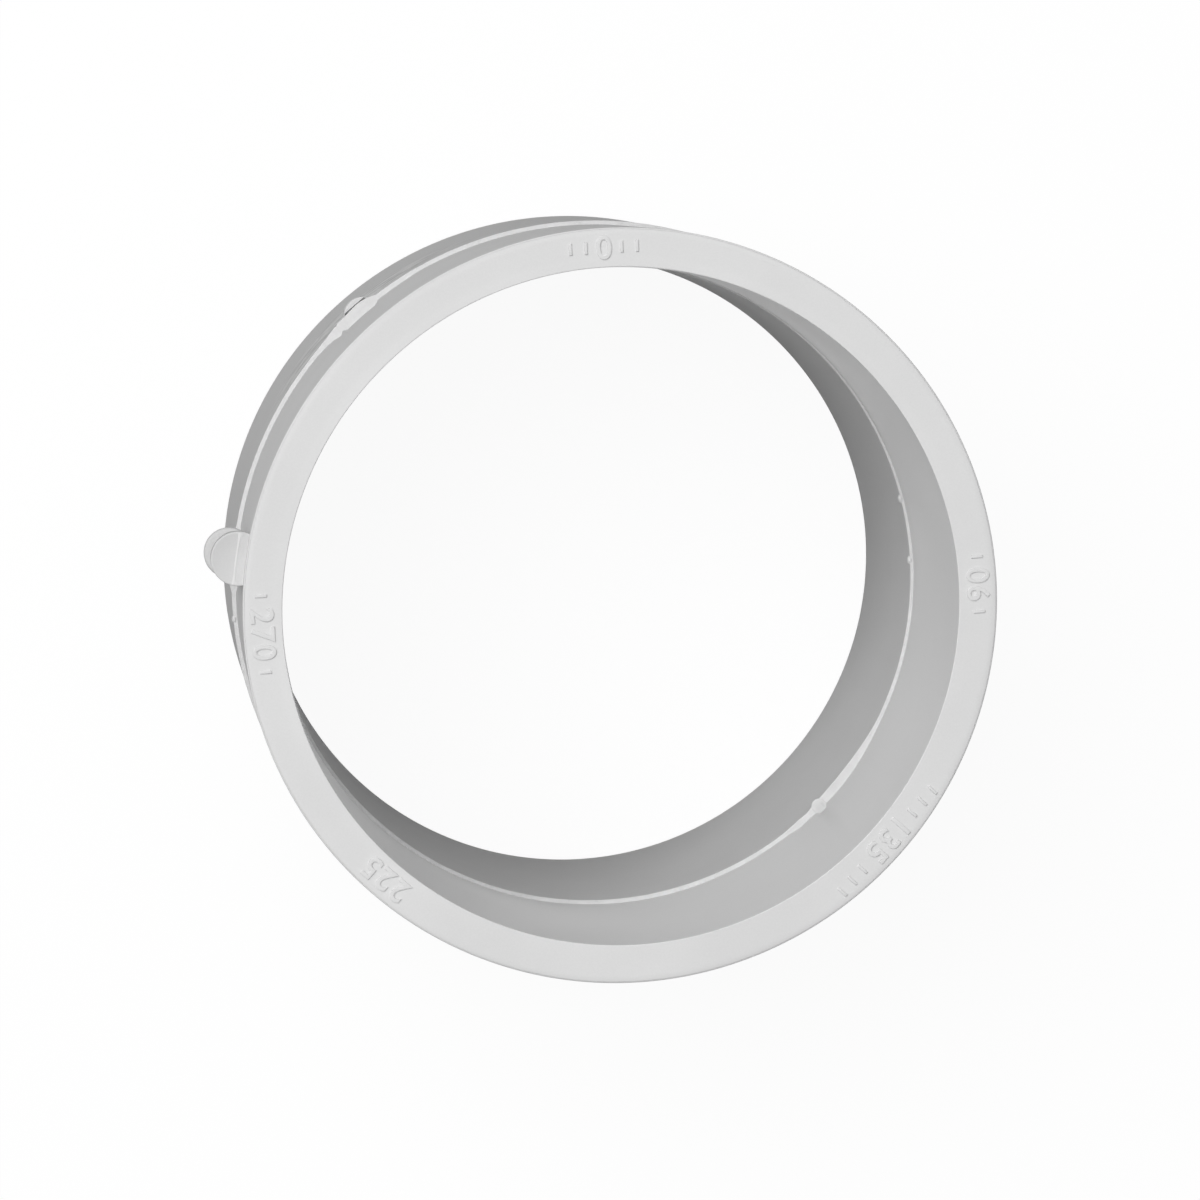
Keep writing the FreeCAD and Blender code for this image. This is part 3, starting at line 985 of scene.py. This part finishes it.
class SLEEVE_OT_scale(bpy.types.Operator):
    """Raise the degree scale on the front rim"""

    bl_idname = "sleeve.scale"
    bl_label = "Degree scale"

    PITCH = 3.4 * MM
    TICK_STEP = 2.6 * MM
    TICK_SIZE = (0.5 * MM, 2.0 * MM)
    SINK = 0.05 * MM
    # Each number with whether its tops point outwards, and how many ticks stand on each side of it
    MARKS = {"0": (False, 2), "90": (False, 1), "135": (True, 3), "225": (True, 0), "270": (False, 1)}

    def execute(self, context):
        sizes = context.scene.sleeve_sizes
        plastic = finish_of("sleeve_plastic")
        for number, (tops_out, tick_count) in self.MARKS.items():
            pieces = [self.digits(number, sizes)]
            if tick_count:
                pieces.append(self.ticks(number, tick_count, sizes, plastic))
            mark = joined(f"rim_mark_{number}", pieces)
            low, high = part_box(f"scale_{number}")
            middle = (low + high) / 2
            turn = math.atan2(middle.y, middle.x)
            upright = turn - math.pi / 2 if tops_out else turn + math.pi / 2
            radius = math.hypot(middle.x, middle.y)
            spot = Matrix.Translation(polar(radius, turn, RIM_Z))
            mark.data.transform(spot @ Matrix.Rotation(upright, 4, "Z"))
            place(dress(mark, plastic), "moulded_plastic", f"scale_{number}")
        return {"FINISHED"}

    def digits(self, number, sizes):
        """Number drawn flat about the origin, standing up by the relief."""
        text = bpy.data.curves.new("digits", "FONT")
        text.body = number
        text.align_x = "CENTER"
        text.align_y = "CENTER"
        text.size = 1.0
        text.space_character = 1.12
        text.extrude = 0.03
        text.bevel_depth = 0.014
        text.bevel_resolution = 2
        text.resolution_u = 6
        obj = new_object("digits", text)
        graph = bpy.context.evaluated_depsgraph_get()
        mesh = bpy.data.meshes.new_from_object(obj.evaluated_get(graph))
        bpy.data.objects.remove(obj)
        xs, ys, zs = zip(*(vertex.co for vertex in mesh.vertices))
        flat = sizes.digit_height / (max(ys) - min(ys))
        tall = (sizes.relief + self.SINK) / (max(zs) - min(zs))
        middle = Vector(((max(xs) + min(xs)) / 2, (max(ys) + min(ys)) / 2, max(zs)))
        shape = Matrix.Translation((0, 0, sizes.relief)) @ Matrix.Diagonal((flat, flat, tall, 1))
        mesh.transform(shape @ Matrix.Translation(-middle))
        return new_object("digits", cleaned(mesh))

    def ticks(self, number, count, sizes, material):
        """Row of ticks on each side of the number."""
        block = bmesh.new()
        bmesh.ops.create_cube(block, size=1.0)
        size = Matrix.Diagonal((*self.TICK_SIZE, sizes.relief + self.SINK, 1))
        lift = Matrix.Translation((0, 0, (sizes.relief - self.SINK) / 2))
        block.transform(lift @ size)
        upper = [e for e in block.edges if all(v.co.z > 0 for v in e.verts)]
        bmesh.ops.bevel(block, geom=upper, offset=0.12 * MM, segments=3, profile=0.5, affect="EDGES")
        mesh = bpy.data.meshes.new("tick")
        block.to_mesh(mesh)
        block.free()
        obj = new_object("ticks", mesh)
        modifier = obj.modifiers.new("Tick row", "NODES")
        modifier.node_group = tick_group()
        modifier[socket_in(modifier, "Count")] = count
        modifier[socket_in(modifier, "First")] = len(number) / 2 * self.PITCH + self.TICK_STEP / 2
        modifier[socket_in(modifier, "Step")] = self.TICK_STEP
        modifier[socket_in(modifier, "Material")] = material
        return frozen(obj)


# Studio


def floor_material(studio):
    """Pale floor: a plain diffuse for the light, near white with its shadows kept for the eye."""
    material = bpy.data.materials.new("studio_floor")
    material.use_nodes = True
    tree = Tree(material.node_tree)
    material.node_tree.nodes.remove(material.node_tree.nodes["Principled BSDF"])
    output = material.node_tree.nodes["Material Output"]
    bounce = tree.out("ShaderNodeBsdfDiffuse", Color=(0.12, 0.12, 0.12, 1))
    shadowed = tree.out("ShaderNodeBsdfDiffuse", Color=(1, 1, 1, 1))
    glow = tree.out("ShaderNodeEmission", Color=(1, 1, 1, 1), Strength=1.0)
    seen = tree.out("ShaderNodeMixShader", i0=studio.floor_white, i1=shadowed, i2=glow)
    mixed = tree.out("ShaderNodeMixShader", i0=seen_rays(tree), i1=bounce, i2=seen)
    tree.feed(output.inputs["Surface"], mixed)
    return material


class SLEEVE_OT_stage(bpy.types.Operator):
    """Set up the floor, the lamps, the surroundings and the camera"""

    bl_idname = "sleeve.stage"
    bl_label = "Studio"

    def execute(self, context):
        studio = context.scene.sleeve_studio
        self.floor(studio)
        self.lamp(studio)
        self.surroundings(context.scene, studio)
        self.camera(context.scene, studio)
        context.scene.view_settings.view_transform = "Standard"
        return {"FINISHED"}

    def floor(self, studio):
        """Flat floor just under the rear rim."""
        half = studio.floor_size / 2
        drop = 0.1 * MM
        corners = [(-half, -half, -drop), (half, -half, -drop), (half, half, -drop), (-half, half, -drop)]
        mesh = bpy.data.meshes.new("studio_floor")
        mesh.from_pydata(corners, [], [(0, 1, 2, 3)])
        floor = new_object("studio_floor", mesh)
        floor.data.materials.append(floor_material(studio))

    def lamp(self, studio):
        """Large soft lamp above, leaning to the upper left."""
        data = bpy.data.lights.new("key", "AREA")
        data.shape = "DISK"
        data.size = studio.key_size
        data.energy = studio.key_power
        lamp = bpy.data.objects.new("key", data)
        bpy.context.scene.collection.objects.link(lamp)
        lean = Vector((math.sin(studio.key_lean), 0, math.cos(studio.key_lean)))
        way = Matrix.Rotation(studio.key_heading, 3, "Z") @ lean
        lamp.location = way * studio.key_distance + Vector((0, 0, MIDDLE_Z))
        lamp.rotation_euler = way.to_track_quat("Z", "Y").to_euler()

    def surroundings(self, scene, studio):
        """White to the eye, and a soft even light to the object."""
        world = bpy.data.worlds.new("studio")
        scene.world = world
        world.use_nodes = True
        tree = Tree(world.node_tree)
        background = world.node_tree.nodes["Background"]
        background.inputs["Color"].default_value = (1, 1, 1, 1)
        way = tree.add("ShaderNodeTexCoord").outputs["Generated"]
        height = tree.add("ShaderNodeSeparateXYZ", Vector=way).outputs["Z"]
        dome = ranged(tree, height, 0.05, 0.8, 0.04 * studio.ambient, studio.ambient)
        strength = tree.out(
            "ShaderNodeMix", {"data_type": "FLOAT"}, Factor=seen_rays(tree), i2=dome, i3=1.0
        )
        tree.feed(background.inputs["Strength"], strength)

    def camera(self, scene, studio):
        """Long lens that looks down the bore, a little off the axis."""
        data = bpy.data.cameras.new("camera")
        data.sensor_width = 36.0
        data.lens = studio.lens
        data.clip_start = 0.01
        data.clip_end = 20.0
        camera = bpy.data.objects.new("camera", data)
        scene.collection.objects.link(camera)
        camera.location = studio.camera_place
        camera.rotation_euler = studio.camera_turn
        scene.camera = camera


class SLEEVE_PT_panel(bpy.types.Panel):
    """Sidebar panel that lists the steps and the settings"""

    bl_idname = "SLEEVE_PT_panel"
    bl_label = "Moulded Sleeve"
    bl_space_type = "VIEW_3D"
    bl_region_type = "UI"
    bl_category = "Sleeve"

    def draw(self, context):
        column = self.layout.column()
        for operator in OPERATORS:
            column.operator(operator.bl_idname)
        for group in (context.scene.sleeve_sizes, context.scene.sleeve_finish, context.scene.sleeve_studio):
            for name in group.bl_rna.properties.keys():
                if name not in ("rna_type", "name"):
                    column.prop(group, name)


GROUPS = {"sleeve_sizes": SleeveSizes, "sleeve_finish": SleeveFinish, "sleeve_studio": SleeveStudio}
OPERATORS = (
    SLEEVE_OT_walls,
    SLEEVE_OT_step,
    SLEEVE_OT_stop_marks,
    SLEEVE_OT_lug,
    SLEEVE_OT_gate,
    SLEEVE_OT_scale,
    SLEEVE_OT_stage,
)


def register():
    """Register the settings, the steps and the panel."""
    for name, group in GROUPS.items():
        bpy.utils.register_class(group)
        setattr(bpy.types.Scene, name, PointerProperty(type=group))
    for operator in OPERATORS:
        bpy.utils.register_class(operator)
    bpy.utils.register_class(SLEEVE_PT_panel)


def unregister():
    """Undo register."""
    bpy.utils.unregister_class(SLEEVE_PT_panel)
    for operator in reversed(OPERATORS):
        bpy.utils.unregister_class(operator)
    for name, group in GROUPS.items():
        delattr(bpy.types.Scene, name)
        bpy.utils.unregister_class(group)


def main():
    """Build everything."""
    register()
    bpy.ops.sleeve.walls()
    bpy.ops.sleeve.step()
    bpy.ops.sleeve.stop_marks()
    bpy.ops.sleeve.lug()
    bpy.ops.sleeve.gate()
    bpy.ops.sleeve.scale()
    bpy.ops.sleeve.stage()


if __name__ == "__main__":
    main()
